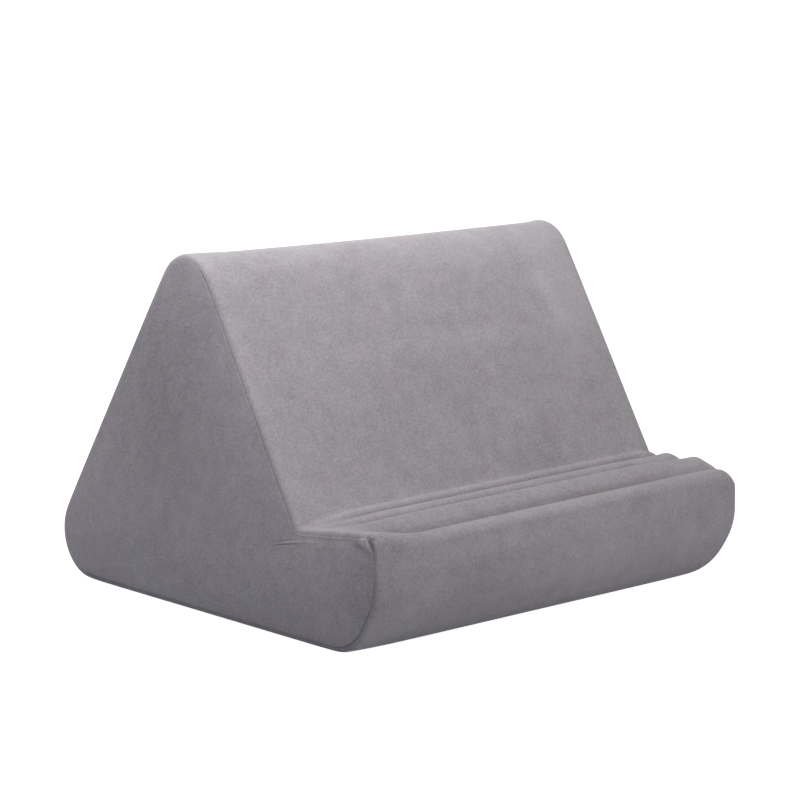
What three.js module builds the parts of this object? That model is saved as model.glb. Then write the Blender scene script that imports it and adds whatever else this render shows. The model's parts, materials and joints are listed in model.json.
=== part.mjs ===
// Pillow stand for a tablet: a firm filled wedge with a ridged ledge along its front, in short-pile plush.
// One wrap panel runs round slope, ledge, front, base and back. An end panel closes each end.
// X runs along the ledge, the ledge faces -Y, Z is up, and the base is centred on the origin. Millimetres.
import * as THREE from 'three';

// Driving dimensions
const LENGTH = 270.6;            // end panel to end panel, over their domes
const END_DOME = 2.3;            // how far an end panel swells past its own rim
const DOME_SLOPE = 45;           // the swelling is full this far inside the rim
const EDGE_RADIUS = 5;           // rounded edge between the wrap panel and an end panel
const SEAM_FROM_END = 0.8;       // the seam lies on that edge, this far in from the end panel's rim
const SEAM_DIP = 0.6;            // how far both panels are drawn in at their seam
const PANEL_THICKNESS = 2;       // cover cloth of an end panel with its backing
const SEAM_GAP = 0.3;            // air between an end panel and the body
const HEART = { y: 100, z: 45 }; // point that sees the whole side profile, where the end faces close

// Side profile, a polygon with rounded corners. y is measured from the front roll's face, z from the base.
// at: y, z and radius of the corner. left, right: the same at that end, where it differs.
// lift: how far the corner moves out halfway along. swell: the same for the middle of the stretch after it.
// drawn: how far the cover pulls the corner in at both ends. tilt: how far it rises to the right end.
// arc: facets of the rounded corner. run: facets of the stretch after it, or the ledge with its rolls.
const PROFILE = [
  { corner: 'back foot', at: [291.5, 0, 25.8], lift: 0, swell: 0, drawn: 0.2, tilt: 0, arc: 9, run: 6 },
  {
    corner: 'front foot', at: [18.5, 0, 30], right: [18.5, 0, 42],
    lift: 0, swell: 0.8, drawn: 0.6, tilt: 0, arc: 7, run: 2,
  },
  {
    corner: 'front', at: [-1.9, 35, 36], left: [-0.6, 35.5, 36], right: [-1.8, 35, 36],
    lift: 0.6, swell: 0.6, drawn: 0.6, tilt: 0, arc: 6, run: 2,
  },
  {
    corner: 'front top', at: [1.8, 62.6, 6], left: [3.2, 68.8, 8], right: [0.6, 56.4, 5],
    lift: 0, swell: 0, drawn: 0, tilt: 1.8, arc: 6, run: 'ledge',
  },
  {
    corner: 'crease', at: [66, 64.6, 2], left: [63.2, 61.9, 2], right: [63.2, 60.6, 2],
    lift: 0, swell: 0.8, drawn: 0, tilt: 1.8, arc: 2, run: 10,
  },
  {
    corner: 'top', at: [151.5, 211.2, 24.4], left: [151.3, 211.2, 23.6], right: [151.6, 210.8, 22.6],
    lift: -0.8, swell: 0.8, drawn: 0, tilt: -0.4, arc: 8, run: 9,
  },
];

// Rolls of the ledge from the front to the crease. back: y of the sewn channel behind the roll.
// middle, right: height of that channel, and how far the roll's crown stands over the line between its
// channels, all along the ledge and at its right end, where the stitches stop short of the seam.
const LEDGE_ROLLS = [
  { roll: 'front', back: 21.5, middle: [54.5, 2.8], right: [58.2, 0.9], facets: 5 },
  { roll: 'third', back: 45.5, middle: [58, 8.8], right: [60.8, 6], facets: 8 },
  { roll: 'second', back: 58.8, middle: [59.2, 5.6], right: [61.3, 4], facets: 6 },
  { roll: 'first', back: 66, middle: [64.6, 2.6], right: [64.6, 1.4], facets: 4 },
];
const ROLL_FULLNESS = 0.7;       // under 1 makes the rolls rounder and their channels narrower
const ROLL_LEAN = 1.25;          // over 1 sets a roll's crown back, with a long front side under it

// On the left the rolls die away over this length into soft folds. On the right they run out to the seam,
// where only their front corner changes over a short length.
const FOLD_LENGTH = { left: 36, right: 8 };

// Cross-sections of the open stretch between the two rounded edges, as shares of the half length
const STATIONS = [
  -0.95, -0.89, -0.83, -0.77, -0.71, -0.61, -0.49, -0.35, -0.21, -0.07,
  0.07, 0.21, 0.35, 0.49, 0.61, 0.73, 0.83, 0.91, 0.97,
];
// Rings of an end face, as shares of the way from its middle to its rim
const FACE_RINGS = [0.3, 0.6, 0.85];
const DRAW_STEEPNESS = 9;        // the cover is drawn in over the last stretch only, as this power of x

const RIM = LENGTH / 2 - END_DOME;
const OPEN_HALF = RIM - EDGE_RADIUS;
const QUARTER_TURN = Math.PI / 2;
const SEAM_ANGLE = Math.asin(1 - SEAM_FROM_END / EDGE_RADIUS);
const COVERED = PANEL_THICKNESS + SEAM_GAP;
const PANEL_EDGE_ANGLE = SEAM_ANGLE + SEAM_GAP / (EDGE_RADIUS - COVERED);

// The arc that rounds one corner of the profile, as points with their outward normals
function roundedCorner(before, corner, after, radius, facets) {
  const back = before.clone().sub(corner).normalize();
  const on = after.clone().sub(corner).normalize();
  const halfAngle = Math.acos(back.dot(on)) / 2;
  const bend = Math.sign(back.cross(on));
  const toCentre = back.clone().add(on).normalize().multiplyScalar(radius / Math.sin(halfAngle));
  const centre = corner.clone().add(toCentre);
  const firstSpoke = back.multiplyScalar(radius / Math.tan(halfAngle)).sub(toCentre);
  const turn = -bend * (Math.PI - 2 * halfAngle);
  return Array.from({ length: facets + 1 }, (_, k) => {
    const spoke = firstSpoke.clone().rotateAround(new THREE.Vector2(), (turn * k) / facets);
    return { place: centre.clone().add(spoke), normal: spoke.normalize().multiplyScalar(bend) };
  });
}

// Places along the ledge between the front roll's arc and the crease's arc: over the rolls, or on the
// straight line that the left end panel keeps to
function ledgeRun(from, to, where) {
  const places = [];
  let front = from;
  for (const row of LEDGE_ROLLS) {
    const [channel, rise] = row[where] ?? row.middle;
    const back = row.roll === 'first' ? to : new THREE.Vector2(row.back, channel);
    for (let k = 1; k <= row.facets; k += 1) {
      const place = front.clone().lerp(back, k / row.facets);
      const acrossRoll = (k / row.facets) ** ROLL_LEAN;
      const crown = rise * Math.sin(Math.PI * acrossRoll) ** ROLL_FULLNESS;
      const straight = from.y + ((to.y - from.y) * (place.x - from.x)) / (to.x - from.x);
      place.y = where === 'left' ? straight : place.y + crown;
      places.push(place);
    }
    front = back;
  }
  return places.slice(0, -1);
}

// The whole side profile at the left end, halfway along or at the right end, front to back over the top.
// All three have the same points in the same order. Vector2.x is y here and Vector2.y is z.
function sideProfile(where) {
  const count = PROFILE.length;
  const sizes = PROFILE.map((row) => row[where] ?? row.at);
  const corners = sizes.map(([y, z]) => new THREE.Vector2(y, z));
  const arcs = PROFILE.map((row, i) => {
    const [before, after] = [corners[(i + count - 1) % count], corners[(i + 1) % count]];
    return roundedCorner(before, corners[i], after, sizes[i][2], row.arc);
  });
  return PROFILE.flatMap((row, i) => {
    const after = PROFILE[(i + 1) % count];
    const from = arcs[i].at(-1);
    const to = arcs[(i + 1) % count][0];
    const places = row.run === 'ledge'
      ? ledgeRun(from.place, to.place, where)
      : Array.from({ length: row.run - 1 }, (_, k) => from.place.clone().lerp(to.place, (k + 1) / row.run));
    const runPoints = places.map((place, k) => {
      const t = (k + 1) / (places.length + 1);
      const between = (key) => THREE.MathUtils.lerp(row[key], after[key], t);
      const lift = between('lift') + row.swell * Math.sin(Math.PI * t);
      return { place, normal: from.normal, lift, drawn: between('drawn'), tilt: between('tilt') };
    });
    const arcPoints = arcs[i].map((p) => ({ ...p, lift: row.lift, drawn: row.drawn, tilt: row.tilt }));
    return [...arcPoints, ...runPoints];
  });
}

const LEFT_END = sideProfile('left');
const HALFWAY = sideProfile('middle');
const RIGHT_END = sideProfile('right');

// Middle of the depth over everything, so that the base is centred
const REACH = HALFWAY.map((point) => point.place.x + point.normal.x * point.lift);
const MIDDLE_Y = (Math.min(...REACH) + Math.max(...REACH)) / 2;

// How much of the halfway profile the cover has at x: none at the seams, all of it between the end folds
function halfwayShare(x) {
  const fromSeam = RIM - SEAM_FROM_END - Math.abs(x);
  return THREE.MathUtils.smoothstep(fromSeam, 0, x < 0 ? FOLD_LENGTH.left : FOLD_LENGTH.right);
}

// One ring round the profile. surfaceX is where the cover's surface is, x where the ring is, inset how far
// the ring lies inside the profile.
function ring(surfaceX, x, inset) {
  const share = halfwayShare(surfaceX);
  const alongHalf = Math.min(1, Math.abs(surfaceX) / OPEN_HALF);
  const openness = 1 - alongHalf ** 2;
  return (surfaceX < 0 ? LEFT_END : RIGHT_END).map((point, i) => {
    const place = point.place.clone().lerp(HALFWAY[i].place, share);
    place.y += (point.tilt * surfaceX) / RIM;
    const out = point.lift * openness - point.drawn * alongHalf ** DRAW_STEEPNESS - inset;
    place.addScaledVector(point.normal, out);
    return new THREE.Vector3(x, place.x - MIDDLE_Y, place.y);
  });
}

// A ring on the rounded edge of one end: angle 0 is the wrap panel's side of it, a quarter turn the end
// panel's rim. depth is how far under the cover's surface the ring lies.
function edgeRing(side, angle, depth) {
  const surface = RIM - EDGE_RADIUS * (1 - Math.sin(angle));
  const inset = EDGE_RADIUS * (1 - Math.cos(angle)) + depth * Math.cos(angle);
  return ring(side * surface, side * (surface - depth * Math.sin(angle)), inset);
}

// How far the end face swells at a place, by its distance from the rim
function domeAt(place, rim) {
  const nearest = new THREE.Vector3();
  const distances = rim.map((p, i) => {
    new THREE.Line3(p, rim[(i + 1) % rim.length]).closestPointToPoint(place, true, nearest);
    return nearest.distanceTo(place);
  });
  const share = THREE.MathUtils.smootherstep(Math.min(...distances), -DOME_SLOPE, DOME_SLOPE);
  return END_DOME * (2 * share - 1);
}

// A ring of the domed end face, a share of the way from its middle to its rim
function faceRing(side, share, depth) {
  const rim = edgeRing(side, QUARTER_TURN, 0);
  const middle = new THREE.Vector3(side * RIM, HEART.y - MIDDLE_Y, HEART.z);
  return rim.map((p) => {
    const place = middle.clone().lerp(p, share);
    place.x += side * (domeAt(place, rim) - depth);
    return place;
  });
}

// Skins a row of rings that runs towards +X, and closes each end to its middle
function skin(rings, firstMiddle, lastMiddle) {
  const count = HALFWAY.length;
  const points = [...rings.flat(), firstMiddle, lastMiddle];
  const first = points.length - 2;
  const faces = [];
  for (let i = 0; i < count; i += 1) {
    const next = (i + 1) % count;
    faces.push(first, i, next);
    for (let j = 0; j < rings.length - 1; j += 1) {
      const [a, b] = [j * count + i, j * count + next];
      faces.push(a, a + count, b + count, a, b + count, b);
    }
    const last = (rings.length - 1) * count;
    faces.push(first + 1, last + next, last + i);
  }
  const geometry = new THREE.BufferGeometry().setFromPoints(points);
  geometry.setIndex(faces);
  geometry.computeVertexNormals();
  return geometry;
}

function faceMiddle(side, depth) {
  return new THREE.Vector3(side * (RIM + END_DOME - depth), HEART.y - MIDDLE_Y, HEART.z);
}

// Body: the filled wedge under its wrap panel, with a step all round each end for the end panel's rim
function bodyEnd(side) {
  return [
    ...FACE_RINGS.map((share) => faceRing(side, share, COVERED)),
    edgeRing(side, QUARTER_TURN, COVERED),
    edgeRing(side, (SEAM_ANGLE + QUARTER_TURN) / 2, COVERED),
    edgeRing(side, SEAM_ANGLE, COVERED),
    edgeRing(side, SEAM_ANGLE, SEAM_DIP),
    edgeRing(side, SEAM_ANGLE * 0.7, 0),
    edgeRing(side, SEAM_ANGLE * 0.35, 0),
    edgeRing(side, 0, 0),
  ];
}

function bodyGeometry() {
  const open = STATIONS.map((share) => ring(share * OPEN_HALF, share * OPEN_HALF, 0));
  const rings = [...bodyEnd(-1), ...open, ...bodyEnd(1).reverse()];
  return skin(rings, faceMiddle(-1, COVERED), faceMiddle(1, COVERED));
}

// End panel: a sheet over one end of the body, its rim turned over the rounded edge down to the seam
function endPanelGeometry(side) {
  const outside = [
    ...FACE_RINGS.map((share) => faceRing(side, share, 0)),
    edgeRing(side, QUARTER_TURN, 0),
    edgeRing(side, PANEL_EDGE_ANGLE + (QUARTER_TURN - PANEL_EDGE_ANGLE) * 0.6, 0),
    edgeRing(side, PANEL_EDGE_ANGLE + (QUARTER_TURN - PANEL_EDGE_ANGLE) * 0.25, 0),
    edgeRing(side, PANEL_EDGE_ANGLE, SEAM_DIP),
  ];
  const inside = [
    edgeRing(side, PANEL_EDGE_ANGLE, PANEL_THICKNESS),
    edgeRing(side, (SEAM_ANGLE + QUARTER_TURN) / 2, PANEL_THICKNESS),
    edgeRing(side, QUARTER_TURN, PANEL_THICKNESS),
    ...FACE_RINGS.map((share) => faceRing(side, share, PANEL_THICKNESS)).reverse(),
  ];
  const rings = [...outside, ...inside];
  return side < 0
    ? skin(rings, faceMiddle(side, 0), faceMiddle(side, PANEL_THICKNESS))
    : skin(rings.reverse(), faceMiddle(side, PANEL_THICKNESS), faceMiddle(side, 0));
}

// Cover cloth in mauve-grey plush: the end panels' nap lies the other way and looks darker
const PLUSH = { roughness: 0.95, metalness: 0 };
const wrapPlush = new THREE.MeshStandardMaterial({ color: '#9f989b', ...PLUSH });
const endPlush = new THREE.MeshStandardMaterial({ color: '#8b868b', ...PLUSH });

function piece(name, geometry, material) {
  const mesh = new THREE.Mesh(geometry, material);
  mesh.name = name;
  return mesh;
}

const stand = new THREE.Group();
stand.add(piece('pillow_body', bodyGeometry(), wrapPlush));
stand.add(piece('end_panel_left', endPanelGeometry(-1), endPlush));
stand.add(piece('end_panel_right', endPanelGeometry(1), endPlush));

export default stand;
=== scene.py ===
"""Pillow stand for a tablet: a filled wedge in short-pile plush with a ridged ledge, on plain white paper.

Laid out as an add-on and run as a script. Metres, in the frame's own axes: X runs along the ledge, the
ledge faces -Y and Z is up. Every size that the solids hold is read from them.
"""

import json
import math

import bpy
import numpy as np
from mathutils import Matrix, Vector
from mathutils.kdtree import KDTree

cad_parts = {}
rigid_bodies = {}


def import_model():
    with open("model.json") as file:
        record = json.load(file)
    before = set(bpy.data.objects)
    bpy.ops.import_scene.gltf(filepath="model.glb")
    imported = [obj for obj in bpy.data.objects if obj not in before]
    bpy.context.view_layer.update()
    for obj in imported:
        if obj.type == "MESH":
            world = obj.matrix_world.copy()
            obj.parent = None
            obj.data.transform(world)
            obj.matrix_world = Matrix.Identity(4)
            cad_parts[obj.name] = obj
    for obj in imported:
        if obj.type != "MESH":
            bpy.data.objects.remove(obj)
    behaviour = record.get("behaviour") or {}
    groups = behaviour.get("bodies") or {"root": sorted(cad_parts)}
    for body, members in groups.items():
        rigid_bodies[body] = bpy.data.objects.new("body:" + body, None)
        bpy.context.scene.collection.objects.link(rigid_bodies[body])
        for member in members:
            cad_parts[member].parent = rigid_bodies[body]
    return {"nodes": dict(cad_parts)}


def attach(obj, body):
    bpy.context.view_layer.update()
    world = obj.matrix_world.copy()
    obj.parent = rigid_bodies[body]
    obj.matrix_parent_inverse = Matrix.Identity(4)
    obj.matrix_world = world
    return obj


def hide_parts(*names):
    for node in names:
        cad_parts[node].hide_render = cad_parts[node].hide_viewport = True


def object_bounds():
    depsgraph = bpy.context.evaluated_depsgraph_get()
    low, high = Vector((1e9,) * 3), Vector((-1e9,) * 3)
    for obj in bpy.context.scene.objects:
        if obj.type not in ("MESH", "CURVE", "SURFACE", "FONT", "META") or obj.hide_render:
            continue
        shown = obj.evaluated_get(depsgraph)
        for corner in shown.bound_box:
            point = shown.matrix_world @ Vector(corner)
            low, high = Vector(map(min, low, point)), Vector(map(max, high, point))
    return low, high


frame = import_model()
CAD_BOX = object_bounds()

bl_info = {
    "name": "Plush pillow stand",
    "version": (1, 0, 0),
    "blender": (4, 5, 0),
    "location": "3D View > Sidebar > Pillow stand",
    "description": "Makes the plush cover, seams and studio of a tablet pillow stand",
    "category": "Add Mesh",
}

MM = 0.001

# Each piece with the solid that it stands for
WRAP = ("wrap_cover", "pillow_body")
ENDS = {"left": ("end_cover_left", "end_panel_left"), "right": ("end_cover_right", "end_panel_right")}
SIDES = {"left": -1, "right": 1}

SAME_PLACE = 0.05 * MM       # points of the wrap panel nearer than this are one point
END_SAME_PLACE = 0.35 * MM   # the same on an end panel, whose faces get thin at the ledge's inner corner

SEAM_IN = 3.48 * MM          # the seam lies this far in from the crown of an end panel
AT_SEAM = 0.15 * MM          # points of a piece this near to the plane of its seam can be on the seam
HIDDEN_FLAT = 0.97           # those that face sideways by more than this share lie on a hidden flat instead
FLUSH_SEAM_FILL = 0.8 * MM   # what brings the seam out flush where it doesn't show

# It doesn't show along the left edge of the ledge, nor over the ridge toward the back.
LEDGE_EDGE = (-122 * MM, -71 * MM)
LEDGE_EDGE_ABOVE = 54 * MM
RIDGE_BACK = 4 * MM
RIDGE_ABOVE = 150 * MM

# The channels of the ledge and the crease behind it, where stitches hold the cover down, in millimetres
CHANNELS = (
    {"name": "front channel", "y": -112.9, "z": 54.5},
    {"name": "second channel", "y": -88.9, "z": 58},
    {"name": "third channel", "y": -75.6, "z": 59.2},
    {"name": "crease", "y": -68.4, "z": 64.6},
)

# The cover is held firmly up to the first distance from its seams, channels and base, and is free past the
# second. The ledge holds it by less, in front of such places and above such heights.
SEAM_HOLDS = (4 * MM, 16 * MM)
CHANNEL_HOLDS = (5 * MM, 14 * MM)
BASE_HOLDS = (2 * MM, 10 * MM)
LEDGE_HOLDS_FRONT = (52 * MM, 76 * MM)
LEDGE_HOLDS_ABOVE = (30 * MM, 56 * MM)
LEDGE_HOLD = 0.9

# The cloth that the filling blows up
CAGE_FACE = 5 * MM
CLOTH_MASS = 0.2
CLOTH_QUALITY = 5
FILLING_PRESSURE = 4
FILLING_FRAMES = 20
SWELLING_PASSES = 12     # how often the swelling is evened between neighbours
FOLLOWS_WITHIN = 5 * MM  # a cover follows the cloth about as far away as this
FOLLOWS_POINTS = 24

# Soft folds that the filling has worked into the cover, in millimetres. at: middle of the fold. along: its
# direction. long and wide: half its length and half its width. rise: height of a ridge, below zero a
# trough; the ridge is also painted paler as a painted highlight and the trough darker as painted shade.
# faces: the way the cover looks there.
SLOPE_FACES = (0, -0.86, 0.5)
LEFT_FACES = (-1, 0, 0)
FRONT_FACES = (0, -1, 0)
FACES_FOLD = (0.3, 0.7)  # how far the cover must look that way for a fold to set in, and to be whole
FOLD_COLUMNS = ("at", "along", "long", "wide", "rise", "faces")
FOLDS = [dict(zip(FOLD_COLUMNS, row)) for row in (
    ((-15.6, -12.3, 160.5), (0.1, 0.5, 0.86), 14, 3.6, -0.7, SLOPE_FACES),
    ((-24, -12.8, 159.7), (0.1, 0.5, 0.86), 15, 5, 0.6, SLOPE_FACES),
    ((90.6, -13.2, 158.9), (-0.2, 0.5, 0.84), 24, 4.5, -0.7, SLOPE_FACES),
    ((99, -19, 150), (-0.2, 0.5, 0.84), 24, 7, 0.7, SLOPE_FACES),
    ((22, -22.5, 143.5), (1, 0, 0), 75, 6, -0.45, SLOPE_FACES),
    ((16, -27.1, 134.5), (1, 0, 0), 80, 6, 0.5, SLOPE_FACES),
    ((-134, -122.8, 62.2), (0, -0.67, -0.75), 6, 2.4, 1.9, (-0.9, 0, 0.3)),
    ((-134, -122.5, 56.8), (0, -0.92, -0.38), 6, 2.2, -1.8, LEFT_FACES),
    ((-132.5, -127.2, 61.5), (0, -0.5, -0.86), 4.5, 1, -3, (-0.7, -0.5, 0.4)),
    ((-129, -127.6, 63.2), (1, 0, 0.1), 4, 0.9, -2, (0, -0.6, 0.7)),
    ((-58, -135, 31), (0.3, 0, 1), 12, 8, -0.5, FRONT_FACES),
    ((104, -135, 40), (-0.3, 0, 1), 12, 9, -0.6, FRONT_FACES),
    ((54, -135, 56), (0.5, 0, 1), 12, 7, -0.4, FRONT_FACES),
)]

# The corner at the front of the left end, where the cover is tucked in. Its folds need small faces.
TUCK = Vector((-131, -123, 60)) * MM
TUCK_REACH = 17 * MM
TUCK_FADES = 1.5         # what lies so many times farther away is clear of it
TUCK_CUTS = 2

# Areas painted lighter, below zero darker, in millimetres: partly the nap's own uneven tone, partly painted
# light and shade, such as painted shade over the ledge under the slope and painted light toward the top of
# the ends and of the slope. reach: how far each way it goes
NAP_AND_LIGHT_COLUMNS = ("at", "reach", "shade")
NAP_AND_LIGHT_PATCHES = [dict(zip(NAP_AND_LIGHT_COLUMNS, row)) for row in (
    ((-135, 52, 128), (20, 40, 55), -0.2),
    ((-135, 3, 181), (20, 10, 12), 0.16),
    ((-135, 8, 188), (8, 14, 7), 0.14),
    ((-135, -14, 152), (20, 13, 24), 0.14),
    ((-135, -34, 118), (20, 14, 28), 0.14),
    ((-135, 49, 8), (20, 40, 8), 0.15),
    ((112, -14, 156), (22, 30, 40), 0.16),
    ((60, 2, 184), (80, 12, 14), 0.1),
    ((60, -66, 70), (50, 12, 12), -0.07),
    ((-119, -59, 81), (45, 20, 25), 0.1),
    ((0, -44, 110), (90, 25, 35), -0.07),
    ((-20, -98, 62), (120, 24, 14), -0.19),
    ((-108, -111, 62), (22, 22, 12), -0.12),
    ((40, -135, 27), (75, 20, 24), 0.13),
    ((110, -135, 22), (30, 20, 20), 0.1),
    ((-130, -135, 29), (20, 20, 25), -0.12),
    ((20, -128, 6), (120, 15, 8), 0.13),
)]
FOLD_PAINTED_LIGHT = 0.13        # painted highlight on a ridge and painted shade in a trough: this much paler for each millimetre that a fold rises
SEAM_SHADE = -0.15       # how much darker it is at a seam

# Painted highlight and shade on the ledge: where it stands out of its surroundings by this much, it is
# painted fully pale, and in its channels a little darker.
CREST_LIGHT_AT = 0.35 * MM
CREST_LIGHT_RANGE = (-0.15, 1)
NEIGHBOUR_REACH = 2.5 * MM    # points of the cover count as neighbours within about this distance
SMOOTHING_PASSES = 40

# The ledge lies in front of such places and above such heights
LEDGE_FRONT = (66 * MM, 69 * MM)
LEDGE_ABOVE = (42 * MM, 50 * MM)

# The rolls of the ledge fade out between the first pair, and the cover is free of the seam past the second
ROLLS_FADE = (-116 * MM, -82 * MM)
OFF_LEFT_SEAM = (-130 * MM, -122 * MM)

# An end panel is all but flat past this far from the middle. There it is evened on a grid of such cells.
END_FLAT = (133.5 * MM, 134 * MM)
EVENING_CELL = 1.5 * MM
EVENING_PASSES = 10
EVENING_MARGIN = 2       # empty cells round the panel
HALF_SHEET = 1 * MM      # half the thickness of an end panel, which tells its outside from its inside
FACES_OUT = 0.5          # the outside of the panel faces sideways by more than this share

# Its rim rolls over gently: it is lower by this much at this distance from the seam, and less beyond
RIM_DROP = 0.8 * MM
RIM_ROLL = 1.7 * MM

# Toward the right end the rolls are drawn forward, and the channel behind the front roll gets shallower
RIGHT_END = (92 * MM, 130 * MM)
DRAWN_FORWARD = 7 * MM
CHANNEL_LIFT = 2.5 * MM
DRAWN_ABOVE = (40 * MM, 56 * MM)
DRAWN_FROM = (72 * MM, 90 * MM)      # it sets in this far forward of the middle
DRAWN_TO = (112 * MM, 133 * MM)      # and fades out here
LIFTED_AT = 118.5 * MM
LIFTED_WITHIN = 5 * MM

# Nap of the plush: widths of its mottling, its broad strokes and its patches of tint
MOTTLE_WIDTH = 9 * MM
STROKE_WIDTH = 45 * MM
TINT_WIDTH = 17 * MM
FLECK_SHARE = 0.46       # how much each of them counts in the shade of the nap
MOTTLE_SHARE = 0.22
STROKE_SHARE = 0.14
NAP_LEVELS = (0.21, 0.61)
NAP_SHADES = (0.72, 1.28)
TINT_LEVELS = (0.35, 0.65)
COOL_TINT = (0.98, 1.005, 0.995, 1)
WARM_TINT = (1.02, 0.995, 1.005, 1)
PILE_HEIGHT = 0.35 * MM
NAP_HEIGHT = 1.2 * MM


def linear(colour):
    """An sRGB hex colour as linear red, green and blue."""
    parts = [int(colour[i:i + 2], 16) / 255 for i in (0, 2, 4)]
    return tuple(c / 12.92 if c <= 0.04045 else ((c + 0.055) / 1.055) ** 2.4 for c in parts)


class PillowCoverSettings(bpy.types.PropertyGroup):
    """How the filled cover swells, folds and is sewn"""

    fullness: bpy.props.FloatProperty(
        name="Fullness", description="Furthest that the filling moves the cover",
        default=1.2 * MM, min=0, subtype='DISTANCE', unit='LENGTH')
    slack: bpy.props.FloatProperty(
        name="Slack", description="How far the cover starts inside its shape, for the filling to push out",
        default=1.0 * MM, min=0, subtype='DISTANCE', unit='LENGTH')
    spare_cloth: bpy.props.FloatProperty(
        name="Spare cloth", description="Share by which the cover was cut larger than the filling",
        default=0.012, min=0, max=0.1, subtype='FACTOR')
    seam_closure: bpy.props.FloatProperty(
        name="Seam closure", description="Share of the gap at a seam by which an end's rim is pulled in",
        default=0.8, min=0, max=0.9, subtype='FACTOR')
    seam_fill: bpy.props.FloatProperty(
        name="Seam fill", description="How far the pile fills the groove at a seam",
        default=0.55 * MM, min=0, subtype='DISTANCE', unit='LENGTH')
    seam_crease: bpy.props.FloatProperty(
        name="Seam crease", description="How sharply the cloth turns in at a seam",
        default=0.7, min=0, max=1, subtype='FACTOR')


class PlushSettings(bpy.types.PropertyGroup):
    """Colours and grain of the cloth"""

    wrap_colour: bpy.props.FloatVectorProperty(
        name="Wrap panel", description="Plush of the slope, ledge, front, base and back",
        default=linear("a49fa3"), size=3, min=0, max=1, subtype='COLOR')
    # A touch lighter and bluer than the wrap panel's plush: the bluer tint is painted cool light on the
    # ends.
    end_colour: bpy.props.FloatVectorProperty(
        name="End panels", description="Plush of the two ends, its nap lying the other way",
        default=linear("a7a1a8"), size=3, min=0, max=1, subtype='COLOR')
    # Painted highlight on the ledge's crests and painted shade in its channels: how strongly they are
    # painted
    crest_light_contrast: bpy.props.FloatProperty(
        name="Painted_crest_light contrast", description="How much paler the nap is on crests than in channels",
        default=0.12, min=0, max=1, subtype='FACTOR')
    pile_grain: bpy.props.FloatProperty(
        name="Pile grain", description="Width of one tuft-like fleck of the pile",
        default=1.3 * MM, min=0.1 * MM, subtype='DISTANCE', unit='LENGTH')


class StudioSettings(bpy.types.PropertyGroup):
    """Floor, light and camera"""

    floor_colour: bpy.props.FloatVectorProperty(
        name="Floor", description="Plain pale floor, by the light that it throws back",
        default=linear("abadb6"), size=3, min=0, max=1, subtype='COLOR')
    floor_glow: bpy.props.FloatProperty(
        name="Floor glow", description="How far the floor is overexposed to white where the camera sees it",
        default=1, min=0)
    overhead_light: bpy.props.FloatProperty(
        name="Overhead light", description="Power of each of the two small softboxes over the stand",
        default=0.8, min=0, subtype='POWER', unit='POWER')
    front_light: bpy.props.FloatProperty(
        name="Front light", description="Strength of the low soft light from the front",
        default=1.5, min=0)
    back_light: bpy.props.FloatProperty(
        name="Back light", description="Strength of the low soft light from behind",
        default=2.1, min=0)
    lens: bpy.props.FloatProperty(
        name="Lens", description="Focal length in millimetres on a 36 mm sensor",
        default=121.65, min=10)


def select_only(*objects):
    """Leaves these objects selected, with the last of them active."""
    bpy.ops.object.select_all(action='DESELECT')
    for piece in objects:
        piece.select_set(True)
        bpy.context.view_layer.objects.active = piece


def points_of(mesh):
    """A mesh's points as rows of x, y and z."""
    flat = np.empty(len(mesh.vertices) * 3)
    mesh.vertices.foreach_get("co", flat)
    return flat.reshape(-1, 3)


def normals_of(mesh):
    """The outward direction at each point of a mesh."""
    flat = np.empty(len(mesh.vertices) * 3)
    mesh.vertices.foreach_get("normal", flat)
    return flat.reshape(-1, 3)


def move_points(mesh, points):
    """Puts a mesh's points at these places."""
    mesh.vertices.foreach_set("co", points.ravel())
    mesh.update()


def eased(value, low, high):
    """0 below low, 1 above high and a smooth step between."""
    t = np.clip((value - low) / (high - low), 0, 1)
    return t * t * (3 - 2 * t)


def tree_of(points):
    """A search tree that finds the nearest of these points."""
    tree = KDTree(len(points))
    for i, place in enumerate(points):
        tree.insert(place, i)
    tree.balance()
    return tree


def subdivide(piece, levels):
    """Rounds a piece by subdivision and applies it."""
    rounding = piece.modifiers.new("Rounding", 'SUBSURF')
    rounding.levels = rounding.render_levels = levels
    select_only(piece)
    bpy.ops.object.modifier_apply(modifier=rounding.name)


def cover_from(name, node, same_place):
    """A cover on a solid's own faces, its loose triangles merged into a skin of quads."""
    solid = frame["nodes"][node]
    piece = bpy.data.objects.new(name, solid.data.copy())
    bpy.context.scene.collection.objects.link(piece)
    piece.data.materials.clear()
    select_only(piece)
    bpy.ops.object.mode_set(mode='EDIT')
    bpy.ops.mesh.select_all(action='SELECT')
    bpy.ops.mesh.remove_doubles(threshold=same_place)
    bpy.ops.mesh.tris_convert_to_quads(face_threshold=math.radians(60), shape_threshold=math.radians(60))
    bpy.ops.mesh.customdata_custom_splitnormals_clear()
    bpy.ops.object.mode_set(mode='OBJECT')
    mark_seam(piece)
    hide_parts(node)
    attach(piece, "root")
    return piece


def is_over_ridge(place):
    """Whether a place lies over the ridge, toward the back."""
    return place.y > RIDGE_BACK and place.z > RIDGE_ABOVE


def is_flush(place):
    """Whether the seam lies hidden here: along the ledge's left edge, and over the ridge to the back."""
    on_left_edge = place.x < 0 and LEDGE_EDGE[0] < place.y < LEDGE_EDGE[1] and place.z > LEDGE_EDGE_ABOVE
    return on_left_edge or is_over_ridge(place)


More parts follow.
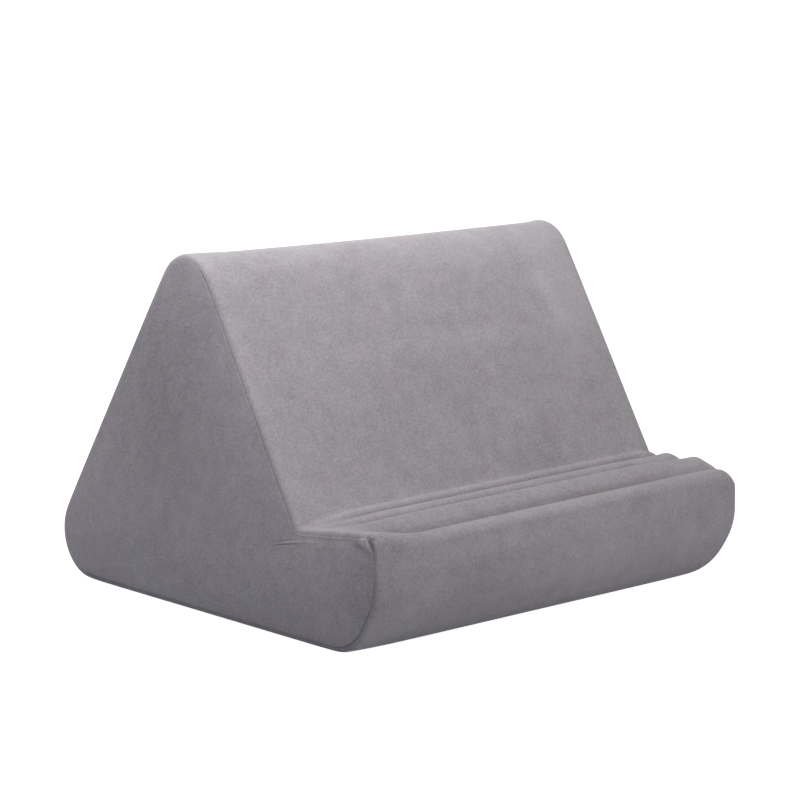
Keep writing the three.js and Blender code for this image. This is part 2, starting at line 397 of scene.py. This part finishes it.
def crease_seam(piece, sharpness):
    """Makes a cover turn in along its seams, and as a plain edge where they are hidden."""
    group = piece.vertex_groups["seam"].index
    held = [any(g.group == group for g in v.groups) for v in piece.data.vertices]
    flush = [is_flush(v.co) for v in piece.data.vertices]
    crease = piece.data.attributes.new("crease_edge", 'FLOAT', 'EDGE')
    for edge in piece.data.edges:
        one, other = edge.vertices
        if held[one] and held[other]:
            edge.use_edge_sharp = flush[one] and flush[other]
            crease.data[edge.index].value = 1 if edge.use_edge_sharp else sharpness


def fill_seam(piece, fill):
    """Lifts a cover's seam out of its groove, and flush where it is hidden."""
    for v in piece.data.vertices:
        if v.groups:
            out = Vector((0, v.normal.y, v.normal.z)).normalized()
            v.co += out * (FLUSH_SEAM_FILL if is_flush(v.co) else fill)


def close_seam(end, wrap, side, share):
    """Pulls the rim of an end cover against the wrap cover's edge."""
    edge = seam_points(wrap, side)
    tree = tree_of(edge)
    for v in end.data.vertices:
        if v.groups:
            v.co = v.co.lerp(tree.find(v.co)[0], 1 if is_flush(v.co) else share)


def seam_x():
    """How far from the middle each seam lies."""
    return CAD_BOX[1].x - SEAM_IN


def mark_seam(piece):
    """Puts the points on a seam into the piece's vertex group of that name."""
    at_seam = abs(abs(points_of(piece.data)[:, 0]) - seam_x()) < AT_SEAM
    on_edge = abs(normals_of(piece.data)[:, 0]) < HIDDEN_FLAT
    group = piece.vertex_groups.new(name="seam")
    for i in np.flatnonzero(at_seam & on_edge):
        group.add([int(i)], 1, 'REPLACE')


def seam_points(piece, side):
    """The points of a cover that lie on one seam."""
    return np.array([v.co for v in piece.data.vertices
                     if v.co.x * side > 0 and any(g.weight > 0.99 for g in v.groups)])


def pieces_made():
    """The wrap cover and both end covers."""
    return [bpy.data.objects[name] for name, _ in (WRAP, *ENDS.values())]


def cage_round(pieces):
    """One closed skin of small even faces round all the pieces, for the cloth to be simulated on."""
    copies = [bpy.data.objects.new("cage", piece.data.copy()) for piece in pieces]
    for copy in copies:
        bpy.context.scene.collection.objects.link(copy)
    select_only(*copies)
    bpy.ops.object.join()
    cage = bpy.context.object
    cage.data.remesh_voxel_size = CAGE_FACE
    bpy.ops.object.voxel_remesh()
    return cage


def hold_of(points):
    """How firmly the cover is held at each point: 1 on seams, channels and the base, 0 where it is free."""
    seams = np.vstack([seam_points(bpy.data.objects[ENDS[side][0]], SIDES[side]) for side in SIDES])
    tree = tree_of(seams)
    from_seam = np.array([tree.find(place)[2] for place in points])
    held = 1 - eased(from_seam, *SEAM_HOLDS)
    for row in CHANNELS:
        away = np.hypot(points[:, 1] - row["y"] * MM, points[:, 2] - row["z"] * MM)
        held = np.maximum(held, 1 - eased(away, *CHANNEL_HOLDS))
    near_ledge = eased(-points[:, 1], *LEDGE_HOLDS_FRONT) * eased(points[:, 2], *LEDGE_HOLDS_ABOVE)
    held = np.maximum(held, near_ledge * LEDGE_HOLD)
    return np.maximum(held, 1 - eased(points[:, 2], *BASE_HOLDS))


def add_filling(cage, held, spare_cloth):
    """Makes the cage a cloth that its filling presses outward, pinned where it is held."""
    pins = cage.vertex_groups.new(name="held")
    for i, weight in enumerate(held):
        pins.add([i], float(weight), 'REPLACE')
    cloth = cage.modifiers.new("Filling", 'CLOTH')
    cloth.settings.quality = CLOTH_QUALITY
    cloth.settings.mass = CLOTH_MASS
    cloth.settings.use_pressure = True
    cloth.settings.uniform_pressure_force = FILLING_PRESSURE
    cloth.settings.shrink_min = -spare_cloth
    cloth.settings.effector_weights.gravity = 0
    cloth.settings.vertex_group_mass = pins.name
    cloth.collision_settings.use_collision = False
    cloth.point_cache.frame_end = FILLING_FRAMES


def swell(cage, settings):
    """Blows the cage up as cloth, held at its seams. Returns where each point was and how it moved.

    The filling lets the cloth swell and never sink, so only movement outward counts, up to the fullness.
    """
    start = points_of(cage.data)
    outward = normals_of(cage.data)
    held = hold_of(start)
    slack = settings.slack * (1 - held)[:, None] * outward
    move_points(cage.data, start - slack)
    add_filling(cage, held, settings.spare_cloth)
    for step in range(1, FILLING_FRAMES + 1):
        bpy.context.scene.frame_set(step)
    shown = cage.evaluated_get(bpy.context.evaluated_depsgraph_get())
    swelling = ((points_of(shown.data) - start) * outward).sum(axis=1)
    bpy.context.scene.frame_set(1)
    swelling = evened(cage.data, np.clip(swelling, 0, settings.fullness), SWELLING_PASSES)
    return start, swelling[:, None] * outward


def edge_ends(mesh):
    """The number of the point at one end of each edge of a mesh, and at its other end."""
    ends = np.empty(len(mesh.edges) * 2, int)
    mesh.edges.foreach_get("vertices", ends)
    return ends[0::2], ends[1::2]


def evened(mesh, values, passes):
    """Values at a mesh's points, each averaged with its neighbours' so many times."""
    one, other = edge_ends(mesh)
    whole = 1 + np.bincount(np.concatenate((one, other)), minlength=len(values))
    for _ in range(passes):
        total = values + np.bincount(one, values[other], len(values))
        total += np.bincount(other, values[one], len(values))
        values = total / whole
    return values


def follow(piece, start, moved):
    """Moves a cover as the nearest points of the cage moved."""
    tree = tree_of(start)
    points = points_of(piece.data)
    for i, place in enumerate(points.copy()):
        near = tree.find_n(place, FOLLOWS_POINTS)
        weights = np.exp([-(distance / FOLLOWS_WITHIN) ** 2 for _, _, distance in near])
        shift = weights @ moved[[index for _, index, _ in near]] / weights.sum()
        points[i] += shift
    move_points(piece.data, points)


def fold_moves(points, normals):
    """How far each point moves along its normal for the folds in the cover."""
    moves = np.zeros(len(points))
    for fold in FOLDS:
        along = np.array(fold["along"], float)
        along /= np.linalg.norm(along)
        away = points / MM - fold["at"]
        lengthwise = away @ along
        across = np.linalg.norm(away - lengthwise[:, None] * along, axis=1)
        shape = np.exp(-((lengthwise / fold["long"]) ** 2) - (across / fold["wide"]) ** 2)
        moves += fold["rise"] * MM * shape * eased(normals @ np.array(fold["faces"]), *FACES_FOLD)
    return moves


def finish_cover(piece):
    """Works the folds into a cover, flattens it where it stands and rounds it once more."""
    refine_tuck(piece)
    move_points(piece.data, drawn_forward(points_of(piece.data)))
    points = points_of(piece.data)
    normals = normals_of(piece.data)
    points += fold_moves(points, normals)[:, None] * normals
    points[:, 2] = np.maximum(points[:, 2], CAD_BOX[0].z)
    move_points(piece.data, points)
    subdivide(piece, 1)
    around = surroundings(piece.data)
    # Painted highlight and shade, stored for the plush: on the ledge's crests and channels, on folds, in
    # patches and at seams
    store_crest_light_and_channel_shade(piece.data, around)
    store_nap_and_painted_light(piece.data)
    settle(piece.data, around)
    select_only(piece)
    bpy.ops.object.shade_smooth()


def drawn_forward(points):
    """Draws the rolls of the ledge forward at their right end, and lifts the front channel there."""
    share = eased(points[:, 0], *RIGHT_END) * eased(points[:, 2], *DRAWN_ABOVE)
    forward = -points[:, 1]
    rolls = eased(forward, *DRAWN_FROM) * (1 - eased(forward, *DRAWN_TO))
    forward += DRAWN_FORWARD * share * rolls
    lift = CHANNEL_LIFT * share * np.exp(-((forward - LIFTED_AT) / LIFTED_WITHIN) ** 2)
    return np.column_stack((points[:, 0], -forward, points[:, 2] + lift))


def refine_tuck(piece):
    """Divides the faces round the tucked corner more finely."""
    near = [(face.center - TUCK).length < TUCK_REACH for face in piece.data.polygons]
    select_only(piece)
    bpy.ops.object.mode_set(mode='EDIT')
    bpy.ops.mesh.select_mode(type='FACE')
    bpy.ops.mesh.select_all(action='DESELECT')
    bpy.ops.object.mode_set(mode='OBJECT')
    piece.data.polygons.foreach_set("select", near)
    bpy.ops.object.mode_set(mode='EDIT')
    if any(near):
        bpy.ops.mesh.subdivide(number_cuts=TUCK_CUTS)
    bpy.ops.object.mode_set(mode='OBJECT')


def store_nap_and_painted_light(mesh):
    """Stores at each point how much lighter or darker the cloth is painted, and darker at a seam.

    In patches this is partly the nap's own tone and partly painted light and shade; on a fold it is a
    painted highlight on its ridge and painted shade in its trough.
    """
    points = points_of(mesh)
    shade = FOLD_PAINTED_LIGHT * fold_moves(points, normals_of(mesh)) / MM
    for area in NAP_AND_LIGHT_PATCHES:
        away = (points / MM - area["at"]) / area["reach"]
        shade += area["shade"] * np.exp(-(away ** 2).sum(axis=1))
    for i, v in enumerate(mesh.vertices):
        if v.groups and not is_over_ridge(v.co):
            shade[i] += SEAM_SHADE * max(0, 2 * v.groups[0].weight - 1)
    nap_and_painted_light = mesh.attributes.new("nap_and_painted_light", 'FLOAT', 'POINT')
    nap_and_painted_light.data.foreach_set("value", shade.astype(np.float32))


def on_ledge(points):
    """1 where a point lies on the ledge, 0 elsewhere."""
    return eased(-points[:, 1], *LEDGE_FRONT) * eased(points[:, 2], *LEDGE_ABOVE)


def settle(mesh, around):
    """Smooths the rolls of the ledge away toward its left end, and evens the flat of an end panel."""
    points = points_of(mesh)
    rolls = on_ledge(points) * (1 - eased(points[:, 0], *ROLLS_FADE)) * eased(points[:, 0], *OFF_LEFT_SEAM)
    points += rolls[:, None] * (around - points)
    from_tuck = np.linalg.norm(points - np.array(TUCK), axis=1)
    flat = eased(abs(points[:, 0]), *END_FLAT) * eased(from_tuck, TUCK_REACH, TUCK_FADES * TUCK_REACH)
    outside = (normals_of(mesh)[:, 0] * np.sign(points[:, 0]) > FACES_OUT) & (flat > 0)
    if outside.any():
        change = evened_face(points, outside) - points[:, 0]
        points[:, 0] += flat * (abs(change) < HALF_SHEET) * change
    move_points(mesh, points)


def roll_rim(end, wrap, side):
    """Rounds an end cover over toward the wrap cover's edge, most of all at RIM_ROLL from it."""
    tree = tree_of(seam_points(wrap, side))
    for v in end.data.vertices:
        away = tree.find(v.co)[2] / RIM_ROLL
        v.co.x -= side * RIM_DROP * away * math.exp((1 - away ** 2) / 2)


def evened_face(points, outside):
    """The x of each point once the outside of an end panel is evened over a few millimetres."""
    places = points[:, 1:] / EVENING_CELL
    places -= places.min(axis=0) - EVENING_MARGIN
    shape = tuple(places.max(axis=0).astype(int) + EVENING_MARGIN + 1)
    cells = np.ravel_multi_index(np.round(places[outside]).astype(int).T, shape)
    known = np.bincount(cells, minlength=math.prod(shape)).reshape(shape)
    total = np.bincount(cells, points[outside, 0], math.prod(shape)).reshape(shape)
    level, weight = total / np.maximum(known, 1), (known > 0).astype(float)
    for _ in range(EVENING_PASSES):
        for grid in (level, weight):
            beside = grid[:-2, 1:-1] + grid[2:, 1:-1] + grid[1:-1, :-2] + grid[1:-1, 2:]
            grid[1:-1, 1:-1] = (grid[1:-1, 1:-1] + beside) / 5
    level /= np.maximum(weight, 1e-9)
    low = places.astype(int)
    (i, j), (s, t) = low.T, (places - low).T
    near = level[i, j] * (1 - s) + level[i + 1, j] * s
    far = level[i, j + 1] * (1 - s) + level[i + 1, j + 1] * s
    return near * (1 - t) + far * t


def store_crest_light_and_channel_shade(mesh, around):
    """Stores at each point the painted light on the ledge: above 0 on a crest, a painted highlight; below 0
    in a channel, painted shade.
    """
    points = points_of(mesh)
    proud = ((points - around) * normals_of(mesh)).sum(axis=1)
    crest_light = on_ledge(points) * np.clip(proud / CREST_LIGHT_AT, *CREST_LIGHT_RANGE)
    crest_light_and_channel_shade = mesh.attributes.new("crest_light_and_channel_shade", 'FLOAT', 'POINT')
    crest_light_and_channel_shade.data.foreach_set("value", crest_light.astype(np.float32))


def surroundings(mesh):
    """Where each point would lie if the cover were smoothed over a few millimetres."""
    points = points_of(mesh)
    one, other = edge_ends(mesh)
    pull = np.exp(-(np.linalg.norm(points[one] - points[other], axis=1) / NEIGHBOUR_REACH) ** 2)
    whole = 1 + np.bincount(one, pull, len(points)) + np.bincount(other, pull, len(points))
    around = points.copy()
    for _ in range(SMOOTHING_PASSES):
        for axis in range(3):
            total = around[:, axis] + np.bincount(one, pull * around[other, axis], len(points))
            total += np.bincount(other, pull * around[one, axis], len(points))
            around[:, axis] = total / whole
    return around


class PILLOW_OT_wrap_cover(bpy.types.Operator):
    """Makes the cover of slope, ledge, front, base and back"""
    bl_idname = "pillow.wrap_cover"
    bl_label = "Wrap cover"

    def execute(self, context):
        piece = cover_from(*WRAP, SAME_PLACE)
        settings = context.scene.pillow_cover
        fill_seam(piece, settings.seam_fill)
        crease_seam(piece, settings.seam_crease)
        subdivide(piece, 1)
        return {'FINISHED'}


class PILLOW_OT_end_covers(bpy.types.Operator):
    """Makes the cover of each end"""
    bl_idname = "pillow.end_covers"
    bl_label = "End covers"

    def execute(self, context):
        settings = context.scene.pillow_cover
        wrap = bpy.data.objects[WRAP[0]]
        for side, (name, node) in ENDS.items():
            piece = cover_from(name, node, END_SAME_PLACE)
            close_seam(piece, wrap, SIDES[side], settings.seam_closure)
            roll_rim(piece, wrap, SIDES[side])
            crease_seam(piece, settings.seam_crease)
            subdivide(piece, 1)
        return {'FINISHED'}


class PILLOW_OT_fill_cover(bpy.types.Operator):
    """Swells the cover over its filling as cloth, then works its folds in"""
    bl_idname = "pillow.fill_cover"
    bl_label = "Fill the cover"

    def execute(self, context):
        pieces = pieces_made()
        cage = cage_round(pieces)
        start, moved = swell(cage, context.scene.pillow_cover)
        for piece in pieces:
            follow(piece, start, moved)
        bpy.data.objects.remove(cage)
        for piece in pieces:
            finish_cover(piece)
        return {'FINISHED'}


def add_node(tree, kind, inputs=None, **settings):
    """Adds a node with its settings. Each input is a value, or another node's output that feeds it."""
    node = tree.nodes.new(kind)
    for name, value in settings.items():
        setattr(node, name, value)
    for socket, value in (inputs or {}).items():
        if isinstance(value, bpy.types.NodeSocket):
            tree.links.new(value, node.inputs[socket])
        else:
            node.inputs[socket].default_value = value
    return node


def noise(tree, place, width, detail):
    """An even noise with spots of this width."""
    inputs = {"Vector": place, "Scale": 1 / width, "Detail": detail}
    return add_node(tree, 'ShaderNodeTexNoise', inputs).outputs["Fac"]


def cloth_tone_and_painted_light(tree, place, fleck, mottle, crest_light_contrast):
    """How light the cloth is: flecks, mottling and broad strokes of the nap, then painted light and shade.

    The ledge's crests get a painted highlight and its channels painted shade; folds, patches and seams add
    what is stored on the points.
    """
    crest_light_and_channel_shade = add_node(tree, 'ShaderNodeAttribute', attribute_name="crest_light_and_channel_shade").outputs["Fac"]
    nap_and_painted_light = add_node(tree, 'ShaderNodeAttribute', attribute_name="nap_and_painted_light").outputs["Fac"]
    stroke = noise(tree, place, STROKE_WIDTH, 2.0)
    fine = add_node(tree, 'ShaderNodeMath', {0: fleck, 1: FLECK_SHARE}, operation='MULTIPLY')
    middling = add_node(tree, 'ShaderNodeMath', {0: mottle, 1: MOTTLE_SHARE, 2: fine.outputs[0]},
                        operation='MULTIPLY_ADD')
    level = add_node(tree, 'ShaderNodeMath', {0: stroke, 1: STROKE_SHARE, 2: middling.outputs[0]},
                     operation='MULTIPLY_ADD')
    even = add_node(tree, 'ShaderNodeMapRange', {
        "Value": level.outputs[0], "From Min": NAP_LEVELS[0], "From Max": NAP_LEVELS[1],
        "To Min": NAP_SHADES[0], "To Max": NAP_SHADES[1],
    })
    # Painted highlight on the ledge's crests and painted shade in its channels, then the stored patches of
    # nap tone and painted light and shade, folds and seams
    crest_light = add_node(tree, 'ShaderNodeMath', {0: crest_light_and_channel_shade, 1: crest_light_contrast, 2: even.outputs[0]},
                    operation='MULTIPLY_ADD')
    return add_node(tree, 'ShaderNodeMath', {0: crest_light.outputs[0], 1: nap_and_painted_light}).outputs[0]


def tinted(tree, place, colour):
    """The colour of the cloth, a little warmer in some patches and cooler in others."""
    tint = add_node(tree, 'ShaderNodeTexNoise', {"Vector": place, "Scale": 1 / TINT_WIDTH, "W": 3.0},
                    noise_dimensions='4D')
    warm = add_node(tree, 'ShaderNodeMapRange', {
        "Value": tint.outputs["Fac"], "From Min": TINT_LEVELS[0], "From Max": TINT_LEVELS[1],
    })
    hue = add_node(tree, 'ShaderNodeMix', {"Factor": warm.outputs[0], 6: COOL_TINT, 7: WARM_TINT},
                   data_type='RGBA')
    return add_node(tree, 'ShaderNodeMix', {"Factor": 1.0, 6: (*colour, 1), 7: hue.outputs[2]},
                    data_type='RGBA', blend_type='MULTIPLY').outputs[2]


def plush(name, colour, settings):
    """Short-pile polyester plush, knitted and raised by brushing.

    The eye sees a matt cloth with flecks of pile, broad strokes of nap that lie lighter or darker, crests
    of the ledge painted pale as a painted highlight with painted shade in its channels, and a pale bloom
    where the cloth turns away.
    """
    material = bpy.data.materials.new(name)
    material.use_nodes = True
    tree = material.node_tree
    tree.nodes.clear()
    place = add_node(tree, 'ShaderNodeTexCoord').outputs["Object"]
    fleck = noise(tree, place, settings.pile_grain, 2.0)
    mottle = noise(tree, place, MOTTLE_WIDTH, 4.0)
    shade = cloth_tone_and_painted_light(tree, place, fleck, mottle, settings.crest_light_contrast)
    shaded = add_node(tree, 'ShaderNodeVectorMath', {0: tinted(tree, place, colour), 3: shade},
                      operation='SCALE')
    pile = add_node(tree, 'ShaderNodeBump', {"Strength": 0.5, "Distance": PILE_HEIGHT, "Height": fleck})
    nap = add_node(tree, 'ShaderNodeBump', {
        "Strength": 0.35, "Distance": NAP_HEIGHT, "Height": mottle, "Normal": pile.outputs[0],
    })
    cloth = add_node(tree, 'ShaderNodeBsdfPrincipled', {
        "Base Color": shaded.outputs[0], "Roughness": 0.95, "Specular IOR Level": 0.15,
        "Sheen Weight": 0.35, "Sheen Roughness": 0.5, "Sheen Tint": (0.95, 0.93, 0.95, 1),
        "Normal": nap.outputs[0],
    })
    add_node(tree, 'ShaderNodeOutputMaterial', {"Surface": cloth.outputs[0]})
    return material


def studio_paper(settings):
    """White studio paper, overexposed to plain white before the camera.

    It lights the stand with less than it shows, as paper that lies in the shade of the lamps does.
    """
    material = bpy.data.materials.new("White studio paper")
    material.use_nodes = True
    tree = material.node_tree
    tree.nodes.clear()
    seen = add_node(tree, 'ShaderNodeLightPath').outputs["Is Camera Ray"]
    paper = add_node(tree, 'ShaderNodeBsdfPrincipled', {
        "Base Color": (*settings.floor_colour, 1), "Roughness": 0.9, "Specular IOR Level": 0.1,
    })
    glow = add_node(tree, 'ShaderNodeEmission', {"Color": (1, 1, 1, 1), "Strength": settings.floor_glow})
    lit = add_node(tree, 'ShaderNodeAddShader', {0: paper.outputs[0], 1: glow.outputs[0]})
    mix = add_node(tree, 'ShaderNodeMixShader', {0: seen, 1: paper.outputs[0], 2: lit.outputs[0]})
    add_node(tree, 'ShaderNodeOutputMaterial', {"Surface": mix.outputs[0]})
    return material


class PILLOW_OT_plush_finish(bpy.types.Operator):
    """Gives each cover its plush"""
    bl_idname = "pillow.plush_finish"
    bl_label = "Plush finish"

    def execute(self, context):
        colours = context.scene.pillow_plush
        wrap = plush("Mauve-grey plush, brushed up", colours.wrap_colour, colours)
        # The end panels get a copy of the plush a touch bluer, as painted cool light.
        end = plush("Mauve-grey plush, brushed down", colours.end_colour, colours)
        for piece in pieces_made():
            piece.data.materials.append(wrap if piece.name == WRAP[0] else end)
        return {'FINISHED'}


class PILLOW_OT_studio(bpy.types.Operator):
    """Sets the plain floor, the soft light and the camera"""
    bl_idname = "pillow.studio"
    bl_label = "Studio"

    def execute(self, context):
        settings = context.scene.pillow_studio
        add_floor(settings)
        add_lights(context.scene, settings)
        add_camera(context.scene, settings)
        context.scene.view_settings.view_transform = 'Standard'
        return {'FINISHED'}


FLOOR_RADIUS = 40


def add_floor(settings):
    """A wide plain floor at the stand's base."""
    bpy.ops.object.select_all(action='DESELECT')
    place = (0, 0, CAD_BOX[0].z)
    bpy.ops.mesh.primitive_circle_add(vertices=64, radius=FLOOR_RADIUS, fill_type='NGON', location=place)
    floor = bpy.context.object
    floor.name = "floor"
    floor.data.materials.append(studio_paper(settings))


# Softboxes over the stand, over its middle and beyond its left end: their places, size and what they face
SOFTBOXES = {"overhead light": Vector((0, 0, 0.45)), "left light": Vector((-0.35, 0, 0.45))}
SOFTBOX_WIDTH = 0.4
SOFTBOXES_FACE = Vector((0, 0, 0.1))
LOW_LIGHT_HEIGHT = math.radians(20)      # how high the front and back lights stand over the floor
LOW_LIGHT_SPREAD = math.radians(50)      # how wide they look from the stand


def aim(light, direction):
    """Turns a light to shine in this direction."""
    light.rotation_mode = 'QUATERNION'
    light.rotation_quaternion = direction.to_track_quat('-Z', 'Y')


def add_lights(scene, settings):
    """Two near softboxes overhead, and a low soft light from the front and from behind."""
    for name, place in SOFTBOXES.items():
        bpy.ops.object.light_add(type='AREA', location=place)
        light = bpy.context.object
        light.name = name
        light.data.shape = 'DISK'
        light.data.size = SOFTBOX_WIDTH
        light.data.energy = settings.overhead_light
        aim(light, SOFTBOXES_FACE - place)
    low_lights = (("front light", 1, settings.front_light), ("back light", -1, settings.back_light))
    for name, way, strength in low_lights:
        bpy.ops.object.light_add(type='SUN', location=(0, -2 * way, 1))
        light = bpy.context.object
        light.name = name
        light.data.energy = strength
        light.data.angle = LOW_LIGHT_SPREAD
        aim(light, Vector((0, way * math.cos(LOW_LIGHT_HEIGHT), -math.sin(LOW_LIGHT_HEIGHT))))
    world = bpy.data.worlds.new("Studio room")
    world.use_nodes = True
    backdrop = world.node_tree.nodes["Background"]
    backdrop.inputs["Color"].default_value = (1, 1, 1, 1)
    seen = add_node(world.node_tree, 'ShaderNodeLightPath').outputs["Is Camera Ray"]
    world.node_tree.links.new(seen, backdrop.inputs["Strength"])
    scene.world = world


CAMERA_PLACE = Vector((-0.98133, -1.09231, 0.35794))
CAMERA_LOOKS = Vector((0.65901, 0.73206, -0.17264))


def add_camera(scene, settings):
    """The camera at the photograph's angle."""
    bpy.ops.object.camera_add(location=CAMERA_PLACE)
    camera = bpy.context.object
    camera.data.lens = settings.lens
    camera.data.sensor_width = 36
    camera.rotation_mode = 'QUATERNION'
    camera.rotation_quaternion = CAMERA_LOOKS.to_track_quat('-Z', 'Y')
    scene.camera = camera


class PILLOW_PT_panel(bpy.types.Panel):
    """Lists the sizes, colours and steps of the stand"""
    bl_label = "Pillow stand"
    bl_space_type = 'VIEW_3D'
    bl_region_type = 'UI'
    bl_category = "Pillow stand"

    def draw(self, context):
        for group in SETTINGS:
            settings = getattr(context.scene, group)
            box = self.layout.box()
            for name in settings.__annotations__:
                box.prop(settings, name)
        for step in STEPS:
            self.layout.operator(step.bl_idname)


SETTINGS = {
    "pillow_cover": PillowCoverSettings,
    "pillow_plush": PlushSettings,
    "pillow_studio": StudioSettings,
}
STEPS = (
    PILLOW_OT_wrap_cover,
    PILLOW_OT_end_covers,
    PILLOW_OT_fill_cover,
    PILLOW_OT_plush_finish,
    PILLOW_OT_studio,
)


def register():
    for name, group in SETTINGS.items():
        bpy.utils.register_class(group)
        setattr(bpy.types.Scene, name, bpy.props.PointerProperty(type=group))
    for step in STEPS:
        bpy.utils.register_class(step)
    bpy.utils.register_class(PILLOW_PT_panel)


def unregister():
    bpy.utils.unregister_class(PILLOW_PT_panel)
    for step in reversed(STEPS):
        bpy.utils.unregister_class(step)
    for name, group in SETTINGS.items():
        delattr(bpy.types.Scene, name)
        bpy.utils.unregister_class(group)


def main():
    register()
    bpy.ops.pillow.wrap_cover()
    bpy.ops.pillow.end_covers()
    bpy.ops.pillow.fill_cover()
    bpy.ops.pillow.plush_finish()
    bpy.ops.pillow.studio()


if __name__ == "__main__":
    main()
